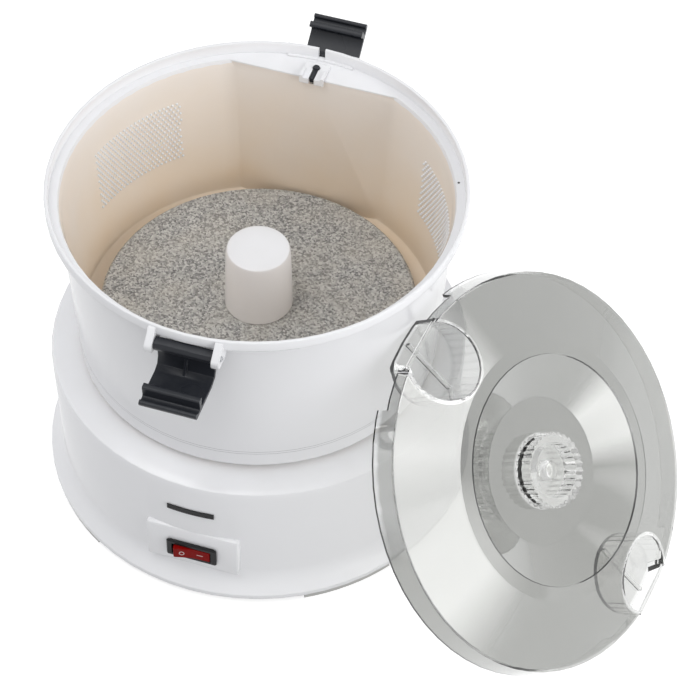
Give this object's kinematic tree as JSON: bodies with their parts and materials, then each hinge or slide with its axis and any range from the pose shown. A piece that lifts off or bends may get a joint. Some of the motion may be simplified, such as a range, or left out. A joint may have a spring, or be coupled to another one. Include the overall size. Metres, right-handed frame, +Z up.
{
  "type": "electric potato peeler",
  "caption": "Drum-shaped motor peeler: bowl with turning abrasive disc and centre post, hinged rim clips, rocker switch, and a clear lid leaning at its side.",
  "frame": {"origin": "on the drum's axis, at the flat underside of the bottom cover; the feet reach 4 mm below it", "axes": "+Z up along the drum's axis, -Y towards the switch, +X to the right of someone who faces the switch"},
  "size_m": [0.4016, 0.3262, 0.2252],
  "materials": {
    "white_plastic": "glossy",
    "anthracite_plastic": "satin",
    "black_plastic": "satin",
    "red_plastic": "glossy",
    "grey_rubber": "matte",
    "clear_plastic": "clear",
    "steel": "brushed",
    "brass": "machined",
    "grit": "rough"
  },
  "bodies": {
    "base": {"base_shell": "white_plastic", "bottom_cover": "white_plastic", "cover_screw_1": "steel", "cover_screw_2": "steel", "cover_screw_3": "steel", "cover_screw_4": "steel", "foot_1": "grey_rubber", "foot_2": "grey_rubber", "foot_3": "grey_rubber", "foot_4": "grey_rubber", "name_strip": "black_plastic", "switch_housing": "black_plastic", "switch_terminal_1": "brass", "switch_terminal_2": "brass", "cord_gland": "grey_rubber", "gear_plate": "steel", "plate_post_1": "steel", "plate_post_2": "steel", "plate_post_3": "steel", "plate_post_4": "steel", "shaft_bush": "brass", "shaft_seal": "grey_rubber", "idler_pin": "steel", "motor_can": "steel", "motor_end_cap": "black_plastic", "motor_screw_1": "steel", "motor_screw_2": "steel", "microswitch": "black_plastic", "microswitch_button": "steel"},
    "switch": {"rocker": "red_plastic"},
    "output": {"output_shaft": "steel", "output_gear": "white_plastic"},
    "idler": {"idler_gear": "white_plastic"},
    "rotor": {"motor_shaft": "steel", "motor_pinion": "brass"},
    "bowl": {"bowl": "white_plastic", "bowl_bush": "brass", "interlock_bracket": "white_plastic", "front_hinge_pin": "steel", "rear_hinge_pin": "steel", "return_spring": "steel"},
    "interlock_pin": {"push_pin": "anthracite_plastic"},
    "clip_front": {"front_clip": "anthracite_plastic"},
    "clip_rear": {"rear_clip": "anthracite_plastic"},
    "disc": {"peeling_disc": "grit", "centre_post": "white_plastic", "coupling_socket": "white_plastic"},
    "lid": {"lid": "clear_plastic", "lid_knob": "clear_plastic", "lid_knob_dome": "clear_plastic"}
  },
  "joints": [
    {"name": "rocker_tilt", "type": "hinge", "parent": "base", "child": "switch", "pos_m": [0, -0.1237, 0.0318], "axis": [0, 0, -1], "range_deg": [0, 16]},
    {"name": "bowl_lift", "type": "slide", "parent": "base", "child": "bowl", "axis": [0, 0, 1], "range_m": [0, 0.15]},
    {"name": "disc_spin", "type": "hinge", "parent": "bowl", "child": "disc", "pos_m": [0, 0, 0.1202], "axis": [0, 0, 1], "continuous": true},
    {"name": "output_spin", "type": "hinge", "parent": "base", "child": "output", "pos_m": [0, 0, 0.09], "axis": [0, 0, 1], "continuous": true},
    {"name": "idler_spin", "type": "hinge", "parent": "base", "child": "idler", "pos_m": [0, 0.0453, 0.09], "axis": [0, 0, 1], "continuous": true},
    {"name": "motor_spin", "type": "hinge", "parent": "base", "child": "rotor", "pos_m": [0.03772, 0.03865, 0.085], "axis": [0, 0, 1], "continuous": true},
    {"name": "front_clip_swing", "type": "hinge", "parent": "bowl", "child": "clip_front", "pos_m": [0, -0.124, 0.2115], "axis": [-1, 0, 0], "range_deg": [0, 166]},
    {"name": "rear_clip_swing", "type": "hinge", "parent": "bowl", "child": "clip_rear", "pos_m": [0, 0.124, 0.2115], "axis": [1, 0, 0], "range_deg": [-38, 128]},
    {"name": "pin_press", "type": "slide", "parent": "bowl", "child": "interlock_pin", "axis": [0, 0.0856, 0.9963], "range_m": [-0.003, 0], "stiffness_N_per_m": 200, "springref_m": 0.0015, "deforming": ["return_spring"]},
    {"name": "lid_off", "type": "slide", "parent": "base", "child": "lid", "axis": [0.7457, -0.2266, 0.6266], "range_m": [0, 0.2]}
  ],
  "couplings": [
    {"joint": "output_spin", "follows": "disc_spin", "ratio": 1},
    {"joint": "idler_spin", "follows": "disc_spin", "ratio": -4},
    {"joint": "motor_spin", "follows": "disc_spin", "ratio": 15}
  ]
}
